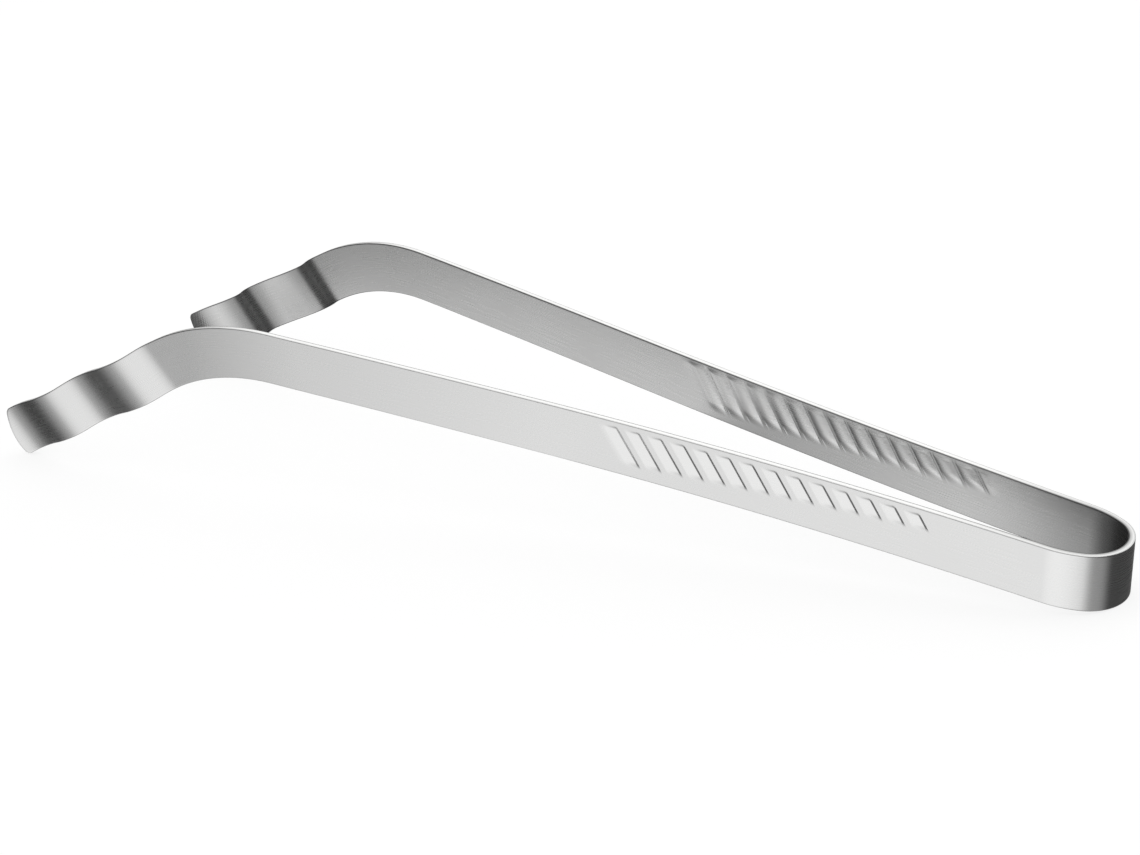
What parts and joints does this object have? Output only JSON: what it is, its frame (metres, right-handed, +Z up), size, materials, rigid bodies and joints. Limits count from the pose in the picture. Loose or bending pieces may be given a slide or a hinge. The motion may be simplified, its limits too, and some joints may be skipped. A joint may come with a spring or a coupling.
{
  "type": "barbecue tongs",
  "caption": "One-piece barbecue tongs of bent spring steel, with a sprung bow, grooved grips, swan necks and wavy jaws that meet when the arms are squeezed.",
  "frame": {"origin": "bottom centre of the tongs' box, as they lie open on a table, on the bow's lower edge and the two jaw tips", "axes": "+X towards the bow, -X towards the jaws, +Y towards the right arm, +Z up"},
  "size_m": [0.3078, 0.073, 0.044],
  "materials": {
    "brushed_strip": "satin stainless strip, brushed along its length, with bright sheared edges"
  },
  "bodies": {
    "spring_bow": {"spring_bow": "brushed_strip"},
    "left_arm": {"left_arm": "brushed_strip"},
    "right_arm": {"right_arm": "brushed_strip"}
  },
  "joints": [
    {"name": "left_squeeze", "type": "hinge", "parent": "spring_bow", "child": "left_arm", "pos_m": [0.13934, -0.00912, 0.00857], "axis": [-0.1587, 0, -0.9873], "range_deg": [0, 6.48], "stiffness_Nm_per_rad": 12},
    {"name": "right_squeeze", "type": "hinge", "parent": "spring_bow", "child": "right_arm", "pos_m": [0.13934, 0.00912, 0.00857], "axis": [0.1587, 0, 0.9873], "range_deg": [0, 6.48], "stiffness_Nm_per_rad": 12}
  ],
  "couplings": [
    {"joint": "right_squeeze", "follows": "left_squeeze", "ratio": 1}
  ]
}
